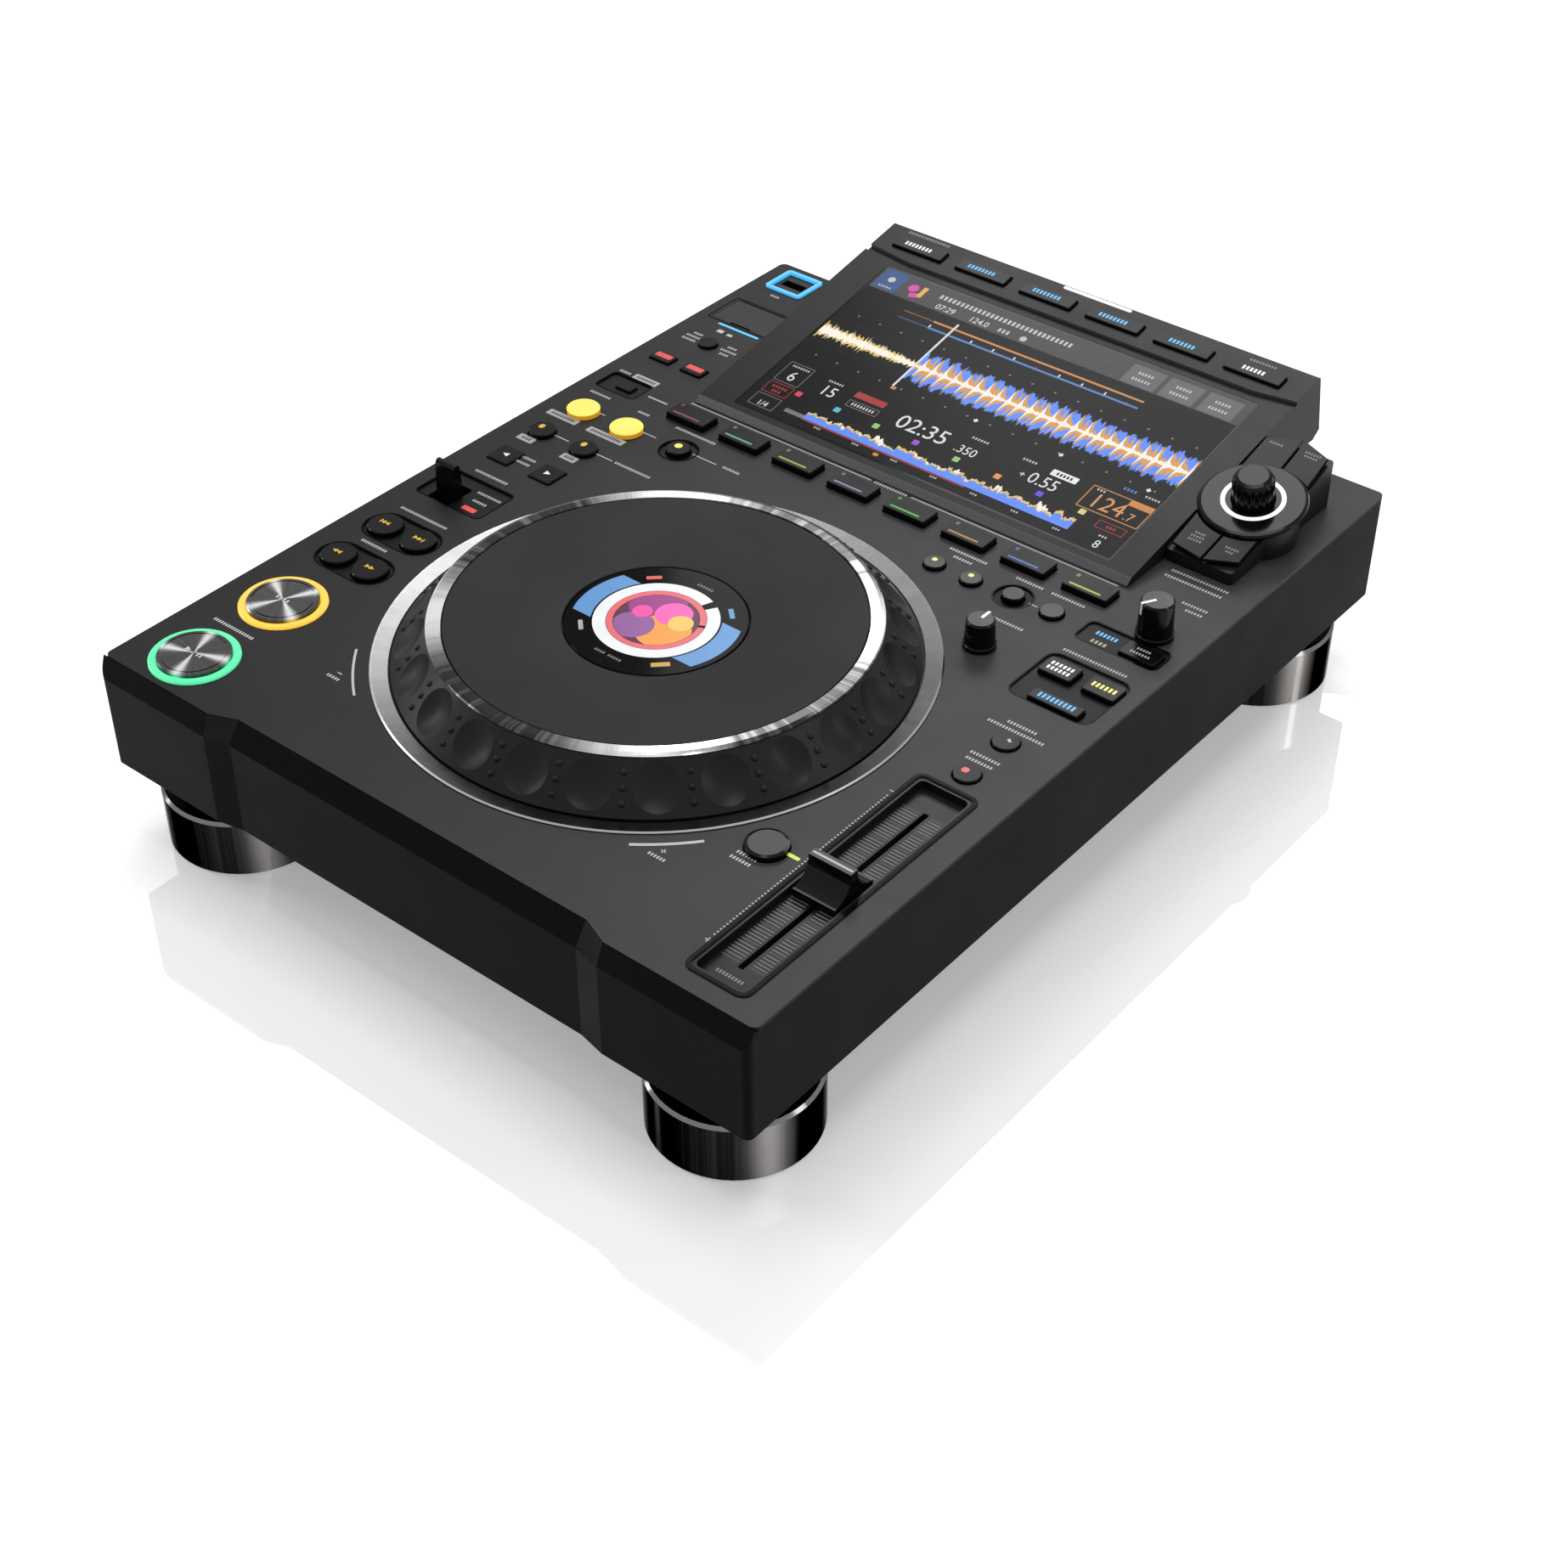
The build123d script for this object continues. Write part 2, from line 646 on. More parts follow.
def rocker(first, second, rise, under, foot, flats, edge=0.4):
    """Two key tops on a bar, with a round bead across its middle, drawn with the surface at zero."""
    x, y = rocker_middle(first, second)
    turn = rocker_angle(first, second)
    span = hypot(second.x - first.x, second.y - first.y)
    bar_top = under - ROCKER_DROP
    solid = Pos(x, y, 0) * Rot(0, 0, turn) * block(0, 0, span, ROCKER_BAR, foot, bar_top)
    bead = rod_y(BEAD_R, 0, -ROCKER_BAR / 2, ROCKER_BAR / 2, under - BEAD_DROP)
    solid += Pos(x, y, 0) * Rot(0, 0, turn) * bead
    for flat in flats:
        top = raised(flat, foot, rise)
        solid += chamfer_top(top, edge) if edge else top
    return solid


def panel_rocker(pair):
    foot = SWITCH_TOP + KEY_TRAVEL + SWITCH_GAP - PANEL_TOP
    flats = [outline(pair.first), outline(pair.second)]
    return Pos(0, 0, PANEL_TOP) * rocker(pair.first, pair.second, pair.rise, -PANEL_SHEET, foot, flats)


# ---- Panel ----
def lever_space(low, high):
    reach = LEVER.width / 2 + LEVER_PIN_REACH + 1.5
    return block(LEVER.x, LEVER.y, 2 * reach, LEVER_SLOT.depth + 3, low, high)


def lever_cheeks():
    """Two cheeks under the panel that hold the lever's pin."""
    pivot_z = PANEL_TOP - LEVER_PIVOT_DROP
    offset = LEVER.width / 2 + FIT + LEVER_PIN_REACH / 2
    low = pivot_z - LEVER_PIVOT_R - 2
    cheeks = Part()
    for side in (-1, 1):
        cheek = block(LEVER.x + side * offset, LEVER.y, LEVER_PIN_REACH - FIT, 9.0, low, PANEL_UNDER)
        cheeks += cheek
    bore = rod_x(LEVER_PIVOT_R + RUNNING, LEVER.x - 15, LEVER.x + 15, LEVER.y, pivot_z)
    return cheeks - bore


def boss_places():
    return [
        (-109.0, from_back(200)),
        (-109.0, from_front(120)),
        (from_left(8.0), from_back(125.0)),
        (from_left(52.0), from_back(125.0)),
        (-60.0, from_back(152.0)),
        (20.0, from_back(152.0)),
        (112.0, from_back(180.0)),
        (from_right(8.0), from_back(225.0)),
        (104.0, from_front(95.0)),
        (from_left(8.0), from_front(48.0)),
    ]


def panel_openings():
    through = [outline(cap, KEY_GAP) for cap in every_cap() if cap not in lit_key_caps()]
    through += [Pos(cap.x, cap.y) * Circle(LIT_RING_R + FIT / 2) for cap in lit_key_caps()]
    through.append(outline(LEVER_SLOT))
    through.append(outline(fader_recess(), FIT / 2))
    through.append(outline(USB_FRAME, FIT / 2))
    through.append(outline(CARD_BAY))
    through.append(outline(CARD_LIGHT, FIT / 2))
    through.append(Pos(JOG_X, JOG_Y) * Circle(ENCODER_R + 4))
    for knob in (JOG_ADJUST, SPEED_ADJUST):
        through.append(Pos(knob.x, knob.y) * Circle(POT_SHAFT_R + RUNNING))
    return through


def lit_key_caps():
    return [KEYS["play_key"].cap, KEYS["cue_key"].cap]


def fader_recess():
    return Cap(RIGHT - RECESS_X, FRONT + RECESS_FROM_FRONT, RECESS_WIDTH, RECESS_DEPTH, 3.5)


def top_panel():
    sheet = raised(front_outline(BEVEL_END + FIT, BEVEL_MIDDLE + FIT), PANEL_UNDER, PANEL_TOP)
    corners = sheet.edges().filter_by(Axis.Z).filter_by(lambda e: abs(e.center().X) > RIGHT - 1)
    sheet = fillet(corners, CORNER_R)
    sheet -= [raised(outline(recess), PANEL_TOP - depth, PANEL_TOP + 1) for recess, depth in RECESSES]
    sheet -= [raised(flat, PANEL_UNDER - 1, PANEL_TOP + 1) for flat in panel_openings()]
    hinge_y, hinge_z = door_hinge()
    reach = CARD_BAY.width / 2 + HINGE_PIN_REACH + RUNNING
    sheet -= rod_x(HINGE_PIN_R + RUNNING, CARD_BAY.x - reach, CARD_BAY.x + reach, hinge_y, hinge_z)
    for x, y in boss_places():
        sheet += disc(2.2, BOARD_TOP, PANEL_UNDER, x, y)
    return sheet + lever_cheeks()


def direction_lever():
    """A tapered paddle on a round pivot with a pin at each side."""
    pivot_z = PANEL_TOP - LEVER_PIVOT_DROP
    top = PANEL_TOP + LEVER_HEIGHT
    half_foot = 1.9
    half_neck = LEVER.depth / 2
    half_tip = 1.7
    y = LEVER.y
    profile = [
        (y - half_foot, pivot_z),
        (y - half_neck, PANEL_TOP + 1),
        (y - half_tip, top - 1.2),
        (y - half_tip + 0.9, top),
        (y + half_tip - 0.9, top),
        (y + half_tip, top - 1.2),
        (y + half_neck, PANEL_TOP + 1),
        (y + half_foot, pivot_z),
    ]
    half = LEVER.width / 2
    paddle = side_extrusion(profile, LEVER.x - half, LEVER.x + half)
    reach = half + LEVER_PIN_REACH
    return paddle + rod_x(LEVER_PIVOT_R, LEVER.x - reach, LEVER.x + reach, y, pivot_z)


def ribbed_knob(knob, height, ribs):
    """A slightly tapered knob with grooves round it, on a round shaft."""
    low = PANEL_TOP + FIT
    top = PANEL_TOP + height
    radius = knob.width / 2
    crown = radius - 1.1
    points = [
        (0, low), (radius, low), (radius, low + 1.6), (radius - 0.5, low + 2.0),
        (crown + 0.2, top - 0.8), (crown - 0.6, top), (0, top),
    ]
    body = turned(points)
    groove = Pos(radius + 0.35, 0, 0) * raised(Circle(0.9), low + 2.2, top + 1)
    body -= [Rot(0, 0, 360 * i / ribs) * groove for i in range(ribs)]
    body += disc(POT_SHAFT_R, BOARD_TOP - BOARD_SHEET, low)
    return Pos(knob.x, knob.y, 0) * body


def lit_ring(cap):
    """A light ring that drops into the panel, with a flange behind it."""
    inner = cap.width / 2 + FIT
    ring = tube(LIT_RING_R, inner, PANEL_UNDER, PANEL_TOP + LIT_RING_RISE, cap.x, cap.y)
    ring = chamfer(ring.faces().sort_by(Axis.Z)[-1].edges(), 0.4)
    flange_r = LIT_RING_R + LIT_RING_REACH
    flange = tube(flange_r, inner, PANEL_UNDER - LIT_RING_FLANGE, PANEL_UNDER, cap.x, cap.y)
    return ring + flange


def light_guides():
    """The lit pieces: two key rings, the socket frame, the card line, the selector ring and the display strip."""
    pieces = [lit_ring(cap) for cap in lit_key_caps()]
    frame = raised(outline(USB_FRAME), PANEL_UNDER, PANEL_TOP + 1.0)
    frame -= raised(outline(USB_FRAME, -2.0), PANEL_UNDER - 1, PANEL_TOP + 2)
    pieces.append(frame)
    pieces.append(raised(outline(CARD_LIGHT), PANEL_UNDER, PANEL_TOP + 0.2))
    ring = tube(SELECTOR_LIT_R, SELECTOR_LIT_R - 1.8, COLLAR_RISE - 1.0, COLLAR_RISE + 0.2, SELECTOR_X, SELECTOR_V)
    pieces.append(on_screen(ring))
    pieces.append(on_screen(raised(outline(STRIP), -HOUSING_WALL + 0.8, 0.2)))
    return group(pieces)


def media_sockets():
    """The socket body under the frame and the card bay with its slot, as two mouldings."""
    usb_low = PANEL_TOP - USB_DEPTH
    body = raised(outline(USB_FRAME, -2.0 - FIT / 2), usb_low, PANEL_TOP - 0.4)
    body += raised(outline(USB_FRAME, 2.0), usb_low, PANEL_UNDER)
    cavity = raised(outline(USB_MOUTH), usb_low + 1.5, PANEL_TOP + 1)
    tongue = block(USB_MOUTH.x, USB_MOUTH.y + 0.9, 11.0, 1.8, usb_low + 1.5, PANEL_TOP - 6.0)
    usb = body - cavity + tongue
    bay_low = PANEL_UNDER - CARD_BAY_DEPTH
    bay = raised(outline(CARD_BAY, BAY_WALL), bay_low - BAY_WALL, PANEL_UNDER)
    bay -= raised(outline(CARD_BAY, 0.0), bay_low, PANEL_UNDER + 1)
    slot_low = bay_low - CARD_SLOT_DEPTH
    bay += block(CARD_SLOT.x, CARD_SLOT.y, CARD_SLOT.width + 4, CARD_SLOT.depth + 4, slot_low, bay_low)
    bay -= raised(outline(CARD_SLOT), slot_low + 1.2, bay_low + 1)
    return group([usb, bay])


def door_hinge():
    """Where the card door's hinge line lies, as y and z."""
    return CARD_BAY.y + CARD_BAY.depth / 2 - DOOR_HINGE_DROP - FIT, PANEL_TOP - DOOR_HINGE_DROP


def card_door():
    """A flush lid with a round back edge, pins at both ends and a finger lip in front."""
    hinge_y, hinge_z = door_hinge()
    half = CARD_BAY.width / 2 - FIT
    front = CARD_BAY.y - CARD_BAY.depth / 2 + FIT
    low = PANEL_TOP - 2 * DOOR_HINGE_DROP
    lid = block(CARD_BAY.x, (front + hinge_y) / 2, 2 * half, hinge_y - front, low, PANEL_TOP)
    lid += rod_x(DOOR_HINGE_DROP, CARD_BAY.x - half, CARD_BAY.x + half, hinge_y, hinge_z)
    reach = CARD_BAY.width / 2 + HINGE_PIN_REACH
    lid += rod_x(HINGE_PIN_R, CARD_BAY.x - reach, CARD_BAY.x + reach, hinge_y, hinge_z)
    lid -= block(CARD_BAY.x, front, 12, 2.0, PANEL_TOP - 0.8, PANEL_TOP + 1)
    return lid


# ---- Jog ----
def jog_trim_ring():
    outer = TRIM_OUTER_R
    inner = outer - TRIM_WIDTH
    low = PANEL_TOP - JOG_SINK
    high = PANEL_TOP + TRIM_RISE
    points = [(inner, low), (outer, low), (outer, high - 0.5), (outer - 0.6, high), (inner, high - TRIM_DISH)]
    return Pos(JOG_X, JOG_Y, 0) * turned(points)


def rim_slope():
    """Fall of the rim's slope, outwards per unit down."""
    return (RIM_R - CREST_R) / (RIM_HIGH - RIM_LOW)


def jog_wheel():
    """A turned shell with a sloping rim, a flat web and a hub, and a ring of round finger dimples."""
    slope = rim_slope()
    wall = RIM_WALL * sqrt(1 + slope**2)
    web_top = PLATE_TOP - PLATE_THICKNESS - PLATE_TRAVEL - 0.2
    web_low = web_top - 2.5
    crest_in = CREST_R + slope * (RIM_HIGH - web_low) - wall
    hub_bore = HUB_R + RUNNING
    hub_top = CENTRE_TOP - CENTRE_THICKNESS - FIT
    points = [
        (RIM_R, RIM_LIFT),
        (RIM_R, RIM_LOW),
        (CREST_R, RIM_HIGH),
        (CHROME_R + 0.1, RIM_HIGH),
        (CHROME_R + 0.1, CHROME_SEAT),
        (CHROME_INNER_R - 0.1, CHROME_SEAT),
        (CHROME_INNER_R - 0.1, web_top),
        (PLATE_BORE_R - 0.05, web_top - PLATE_DISH),
        (PLATE_BORE_R - 0.05, hub_top),
        (hub_bore, hub_top),
        (hub_bore, WHEEL_FOOT),
        (HUB_FLANGE_R - 8, WHEEL_FOOT),
        (HUB_FLANGE_R - 8, WHEEL_FOOT + 2.0),
        (HUB_R + 4, WHEEL_FOOT + 2.0),
        (HUB_R + 4, web_low - PLATE_DISH),
        (crest_in, web_low),
        (RIM_R - wall, RIM_LOW),
        (RIM_R - wall, RIM_LIFT),
    ]
    wheel = turned(points)
    mid_r = (RIM_R + CREST_R) / 2 - 0.3
    mid_z = RIM_HIGH - (mid_r - CREST_R) / slope
    ball_r = (DIMPLE_R**2 + DIMPLE_DEPTH**2) / (2 * DIMPLE_DEPTH)
    lift = (ball_r - DIMPLE_DEPTH) / sqrt(1 + slope**2)
    ball = Pos(mid_r + lift, 0, mid_z + lift * slope) * Sphere(ball_r)
    wheel -= [Rot(0, 0, DIMPLE_PHASE + 360 * i / DIMPLES) * ball for i in range(DIMPLES)]
    return Pos(JOG_X, JOG_Y, PANEL_TOP) * wheel


def jog_chrome_ring():
    top = CHROME_TOP
    lip_r = CHROME_R + CHROME_LIP
    lip_low = RIM_HIGH + 0.1
    points = [
        (CHROME_INNER_R, CHROME_SEAT),
        (CHROME_R, CHROME_SEAT),
        (CHROME_R, lip_low),
        (lip_r, lip_low),
        (lip_r, lip_low + CHROME_LIP_THICKNESS),
        (lip_r - 0.6, top - 0.3),
        (lip_r - 2.0, top),
        (CHROME_INNER_R + 0.3, top),
        (CHROME_INNER_R, top - 0.3),
    ]
    return Pos(JOG_X, JOG_Y, PANEL_TOP) * turned(points)


def jog_plate():
    """The touch plate: a shallow dish round the display that gives a little under the hand."""
    outer = CHROME_INNER_R - FIT
    inner = PLATE_BORE_R
    dished = PLATE_TOP - PLATE_DISH
    points = [
        (outer, PLATE_TOP - PLATE_THICKNESS),
        (outer, PLATE_TOP - 0.3),
        (outer - 0.3, PLATE_TOP),
        (inner + 0.3, dished),
        (inner, dished - 0.3),
        (inner, dished - PLATE_THICKNESS),
    ]
    return Pos(JOG_X, JOG_Y, PANEL_TOP) * turned(points)


def encoder_disc():
    """A slotted disc under the wheel's flange."""
    top = WHEEL_FOOT
    ring = tube(ENCODER_R, HUB_SHOULDER_R + 1, top - ENCODER_SHEET, top)
    slot = block(ENCODER_R - 1.5, 0, 5, 2.4, top - 2 * ENCODER_SHEET, top + 1)
    ring -= [Rot(0, 0, 360 * i / ENCODER_SLOTS) * slot for i in range(ENCODER_SLOTS)]
    return Pos(JOG_X, JOG_Y, PANEL_TOP) * ring


def jog_hub():
    """The fixed post that the wheel turns on and that carries the round display."""
    foot = BASE_TOP - PANEL_TOP
    top = CENTRE_TOP - CENTRE_THICKNESS
    shoulder = WHEEL_FOOT - RUNNING
    points = [
        (HUB_BORE_R, foot),
        (HUB_FLANGE_R, foot),
        (HUB_FLANGE_R, foot + HUB_FLANGE),
        (HUB_SHOULDER_R, foot + HUB_FLANGE),
        (HUB_SHOULDER_R, shoulder),
        (HUB_R, shoulder),
        (HUB_R, top),
        (HUB_BORE_R, top),
    ]
    hub = turned(points)
    fin = block(HUB_SHOULDER_R + 6, 0, 14, 2.4, foot + HUB_FLANGE, foot + HUB_FLANGE + 16)
    hub += [Rot(0, 0, 60 * i) * fin for i in range(6)]
    return Pos(JOG_X, JOG_Y, PANEL_TOP) * hub


def jog_display():
    """The round display: a disc with a raised edge, in the plate's middle."""
    radius = PLATE_BORE_R - 0.45
    low = CENTRE_TOP - CENTRE_THICKNESS
    points = [(0, low), (radius, low), (radius, CENTRE_TOP - 0.3), (radius - 0.3, CENTRE_TOP), (0, CENTRE_TOP)]
    return Pos(JOG_X, JOG_Y, PANEL_TOP) * turned(points)


# ---- Display unit ----
STRIP = Cap(5.2, SCREEN_SLOPE - 2.2, 36.3, 1.6, 0.7)
BAND_V = GLASS_DEPTH + COVE_WIDTH


def slope_point(v, n=0.0):
    """y and z of a place on the display's plane, v up the slope and n out of it."""
    y = SCREEN_Y + v * cos(TILT) - n * sin(TILT)
    z = PANEL_TOP + SCREEN_LIFT + v * sin(TILT) + n * cos(TILT)
    return y, z


def housing_profile():
    """The display unit from the side."""
    front_y = SCREEN_Y - BEZEL_FRONT
    nose = slope_point(-BEZEL_FRONT + 2.6)
    rear_top = slope_point(SCREEN_SLOPE)
    rear_low = slope_point(SCREEN_SLOPE, -SCREEN_BACK)
    corner_y = rear_low[0] - REAR_UNDERCUT
    return [(front_y, PANEL_TOP), (front_y, PANEL_TOP + 1.0), nose, rear_top, rear_low, (corner_y, PANEL_TOP)]


def housing_hollow():
    """The wedge of room inside the display unit's walls, from the side."""
    wall = HOUSING_WALL
    floor = PANEL_TOP + wall
    start_v = (wall + wall * cos(TILT) - SCREEN_LIFT) / sin(TILT)
    rear_top = slope_point(SCREEN_SLOPE - wall, -wall)
    rear_low = slope_point(SCREEN_SLOPE - wall, -SCREEN_BACK + wall)
    corner_y = rear_low[0] - REAR_UNDERCUT
    return [(slope_point(start_v, -wall)[0], floor), rear_top, rear_low, (corner_y, floor)]


def menu_caps():
    first = MENU_X - MENU_PITCH * (MENU_KEYS - 1) / 2
    return [Cap(first + MENU_PITCH * i, MENU_V, MENU_WIDTH, MENU_DEPTH, 0.8) for i in range(MENU_KEYS)]


def cove():
    """The groove above the glass, whose ends run out to the sides of the housing."""
    low = GLASS_DEPTH + 0.4
    reach = GLASS_WIDTH / 2
    rise = 5.0
    points = [
        (SCREEN_LEFT - 1, low + rise),
        (GLASS_X - reach + 4, low),
        (GLASS_X + reach - 4, low),
        (SCREEN_RIGHT + 1, low + rise),
        (SCREEN_RIGHT + 1, low + rise + 4),
        (GLASS_X + reach - 7, low + COVE_WIDTH),
        (GLASS_X - reach + 7, low + COVE_WIDTH),
        (SCREEN_LEFT - 1, low + rise + 4),
    ]
    return raised(make_face(Polyline(*points, close=True)), -COVE_DEPTH, 1)


def glass_cap():
    return Cap(GLASS_X, GLASS_DEPTH / 2, GLASS_WIDTH, GLASS_DEPTH, 1.0)


def display_housing():
    body = side_extrusion(housing_profile(), SCREEN_LEFT, SCREEN_RIGHT)
    long_edges = body.edges().filter_by(Axis.X).sort_by(Axis.Z)[-2:]
    body = fillet(long_edges, 1.2)
    body -= side_extrusion(housing_hollow(), SCREEN_LEFT + HOUSING_WALL, SCREEN_RIGHT - HOUSING_WALL)
    glass = glass_cap()
    body -= on_screen(raised(outline(glass, FIT / 2), -GLASS_THICKNESS, 2))
    body -= on_screen(raised(outline(glass, -GLASS_LEDGE), -2 * HOUSING_WALL, 2))
    body -= on_screen(cove())
    for cap in menu_caps():
        body -= on_screen(raised(outline(cap, KEY_GAP), -HOUSING_WALL - 1, 2))
    body -= on_screen(raised(outline(STRIP, FIT / 2), -HOUSING_WALL + 0.8, 2))
    body -= on_screen(disc(COLLAR_R + FIT, -COLLAR_SINK - FIT, 5, SELECTOR_X, SELECTOR_V))
    return body


def display_glass():
    return on_screen(raised(outline(glass_cap()), -GLASS_THICKNESS, -0.1))


def lcd_module():
    """The display module behind the glass, with a board on its back."""
    glass = glass_cap()
    module = raised(outline(glass, -GLASS_LEDGE - FIT), -GLASS_THICKNESS - LCD_THICKNESS, -GLASS_THICKNESS)
    keep = PANEL_TOP + HOUSING_WALL + FIT
    room = side_extrusion(
        [(SCREEN_Y - 20, keep), (BACK + 40, keep), (BACK + 40, keep + 60), (SCREEN_Y - 20, keep + 60)],
        SCREEN_LEFT, SCREEN_RIGHT,
    )
    return on_screen(module) & room


def menu_rocker(first, second):
    foot = -HOUSING_WALL - ROCKER_DROP - 1.6
    flats = [outline(first), outline(second)]
    return on_screen(rocker(first, second, MENU_RISE, -HOUSING_WALL, foot, flats))


# ---- Selector ----
ROOF_DROP = 2.6  # the selector housing's roof lies this far under the wedge keys' tops
ROOF_SHEET = 1.8
WEDGE_SHEET = 1.2
WEDGE_STEM = 4.0


def wedge_flats():
    """Outlines of the wedge keys in the display's plane: two in front of the collar, two behind."""
    split = 0.4
    left = SCREEN_RIGHT + 0.6
    front_v = SELECTOR_V - 39.5
    back_v = SELECTOR_V + 43.5
    collar = Pos(SELECTOR_X, SELECTOR_V) * Circle(COLLAR_R + 0.5)
    front_left = [
        (left, SELECTOR_V - 10), (left + 1.6, front_v + 2.6), (SELECTOR_X - split, front_v), (SELECTOR_X - split, SELECTOR_V - 10)
    ]
    front_right = [
        (SELECTOR_X + split, SELECTOR_V - 10), (SELECTOR_X + split, front_v), (SELECTOR_SIDE, front_v + 5.6),
        (SELECTOR_SIDE - 0.8, SELECTOR_V - 10),
    ]
    back_left = [
        (left + 0.8, SELECTOR_V + 10), (left, back_v - 6.0), (SELECTOR_X - 2.0 - split, back_v), (SELECTOR_X - split, SELECTOR_V + 10)
    ]
    back_right = [
        (SELECTOR_X + split, SELECTOR_V + 10), (SELECTOR_X - 2.0 + split, back_v), (SELECTOR_SIDE - 2.0, back_v - 5.0),
        (SELECTOR_SIDE + 0.6, SELECTOR_V + 10),
    ]
    return [make_face(Polyline(*points, close=True)) - collar for points in (front_left, front_right, back_left, back_right)]


def wedge_centres():
    """Where each wedge key's stem stands."""
    return [
        Cap(SELECTOR_X - 8.0, SELECTOR_V - 30.0, WEDGE_STEM, WEDGE_STEM, 0.3),
        Cap(SELECTOR_X + 8.0, SELECTOR_V - 30.0, WEDGE_STEM, WEDGE_STEM, 0.3),
        Cap(SELECTOR_X - 8.0, SELECTOR_V + 32.0, WEDGE_STEM, WEDGE_STEM, 0.3),
        Cap(SELECTOR_X + 8.0, SELECTOR_V + 32.0, WEDGE_STEM, WEDGE_STEM, 0.3),
    ]


def selector_keys(start):
    """Two wedge keys on one rocking bar under the housing's roof."""
    stems = wedge_centres()[start:start + 2]
    flats = wedge_flats()[start:start + 2]
    under = -ROOF_DROP - ROOF_SHEET
    foot = under - ROCKER_DROP - 1.6
    solid = rocker(stems[0], stems[1], -0.3, under, foot, [outline(stem) for stem in stems], edge=0)
    for flat in flats:
        solid += chamfer_top(raised(flat, -WEDGE_SHEET, 0), 0.3)
    return on_screen(solid)


def selector_housing():
    """The raised housing beside the display: sides down to the panel, and a roof along the display's plane."""
    side = SELECTOR_SIDE
    front = slope_point(SELECTOR_V - 38.5)[0]
    back = slope_point(SELECTOR_V + 41.5)[0]
    left = SCREEN_RIGHT + 0.05
    flat = Pos((left + side) / 2, (front + back) / 2) * RectangleRounded(side - left, back - front, 2.0)
    flat += Pos(SELECTOR_X, SELECTOR_Y) * Circle(SELECTOR_R)
    flat -= Pos(left - 10, SELECTOR_Y) * Rectangle(20, 120)
    inner = Pos((left + side) / 2, (front + back) / 2) * Rectangle(side - left - 3.6, back - front - 3.6)
    solid = raised(flat, PANEL_TOP, PANEL_TOP + 40)
    above = on_screen(block(SELECTOR_X, SELECTOR_V, 120, 160, -ROOF_DROP, 60))
    solid -= above
    hollow = raised(inner, PANEL_TOP, PANEL_TOP + 40)
    hollow -= on_screen(block(SELECTOR_X, SELECTOR_V, 120, 160, -ROOF_DROP - ROOF_SHEET, 60))
    solid -= hollow
    for stem in wedge_centres():
        solid -= on_screen(raised(outline(stem, KEY_GAP), -12, 2))
    solid -= on_screen(disc(SELECTOR_SHAFT_R + RUNNING, -14, 2, SELECTOR_X, SELECTOR_V))
    return solid


def selector_collar():
    """A round collar with a soft outer edge, a lit groove and a bore for the knob."""
    low = -ROOF_DROP
    top = COLLAR_RISE
    neck_r = SELECTOR_X - SCREEN_RIGHT - FIT
    points = [
        (KNOB_R + 0.5, low),
        (neck_r, low),
        (neck_r, -COLLAR_SINK),
        (COLLAR_R - 0.8, -COLLAR_SINK),
        (COLLAR_R, top - 1.4),
        (COLLAR_R - 0.5, top - 0.4),
        (COLLAR_R - 1.6, top),
        (SELECTOR_LIT_R + 0.15, top),
        (SELECTOR_LIT_R + 0.15, top - 1.0),
        (SELECTOR_LIT_R - 1.95, top - 1.0),
        (SELECTOR_LIT_R - 1.95, top),
        (KNOB_R + 0.5, top),
    ]
    return on_screen(Pos(SELECTOR_X, SELECTOR_V, 0) * turned(points))


def selector_knob():
    """A ribbed knob with a faceted crown and a bore for its shaft."""
    low = -ROOF_DROP + 1.6
    bore_r = SELECTOR_SHAFT_R + RUNNING
    bore_top = KNOB_TOP - 3.0
    points = [
        (bore_r, low), (KNOB_R, low), (KNOB_R, KNOB_TOP - 3.0), (KNOB_R - 1.2, KNOB_TOP - 0.6),
        (KNOB_R - 2.6, KNOB_TOP), (0, KNOB_TOP), (0, bore_top), (bore_r, bore_top),
    ]
    knob = turned(points)
    groove = Pos(KNOB_R + 0.45, 0, 0) * raised(Circle(1.0), COLLAR_RISE + 1.0, KNOB_TOP + 1)
    knob -= [Rot(0, 0, 360 * i / KNOB_RIBS) * groove for i in range(KNOB_RIBS)]
    return on_screen(Pos(SELECTOR_X, SELECTOR_V, 0) * knob)


def selector_shaft():
    """The shaft that the knob turns on, with the flange that stops it under the roof."""
    under = -ROOF_DROP - ROOF_SHEET
    shaft = disc(SELECTOR_SHAFT_R, under - 6, KNOB_TOP - 3.0 - RUNNING)
    shaft += disc(SELECTOR_SHAFT_R + 2.5, under - FIT - 1.5, under - FIT)
    return on_screen(Pos(SELECTOR_X, SELECTOR_V, 0) * shaft)


# ---- Fader ----
def fader_deck():
    """The sunk deck round the fader's slot, with a flange behind the panel."""
    recess = fader_recess()
    floor = PANEL_TOP - RECESS_SINK
    deck = raised(outline(recess), floor - DECK_SHEET, PANEL_TOP)
    deck += raised(outline(recess, 2.0), floor - DECK_SHEET, PANEL_UNDER)
    deck -= raised(outline(recess, -1.0), floor, PANEL_TOP + 1)
    length = FADER_TRAVEL + FADER_STEM + 1.0
    deck -= block(FADER_SLOT_X, FADER_Y, FADER_SLOT, length, floor - 3, floor + 1)
    return deck


